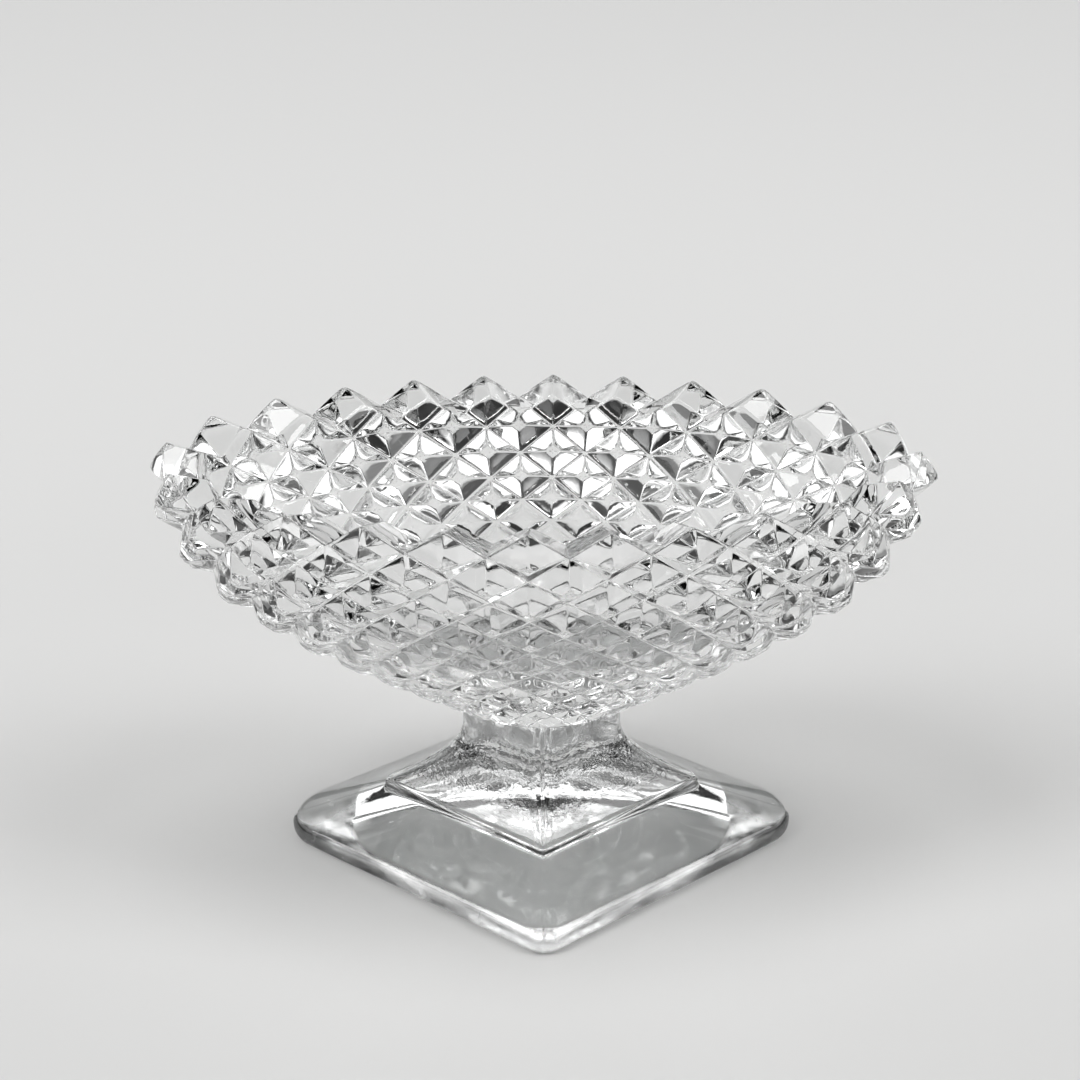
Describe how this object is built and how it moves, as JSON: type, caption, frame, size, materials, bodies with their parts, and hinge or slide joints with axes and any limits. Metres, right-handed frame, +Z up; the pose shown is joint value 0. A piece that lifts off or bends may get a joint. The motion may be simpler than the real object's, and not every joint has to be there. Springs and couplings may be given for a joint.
{
  "type": "salt cellar",
  "caption": "Footed open salt in clear glass: boat-shaped oval bowl with diamond points and a sawtooth rim, on a coved stem with a stepped lozenge foot.",
  "frame": {"origin": "middle of the foot's underside, where the salt stands on the table", "axes": "+Z up, +X along the bowl's length and the foot's long diagonal"},
  "size_m": [0.0826, 0.045, 0.0483],
  "materials": {
    "bowl_glass": "clear colourless glass with sharp bright facets",
    "pedestal_glass": "clear colourless glass, fire polished, faintly wavy"
  },
  "bodies": {
    "root": {"bowl": "bowl_glass", "pedestal": "pedestal_glass"}
  },
  "joints": []
}
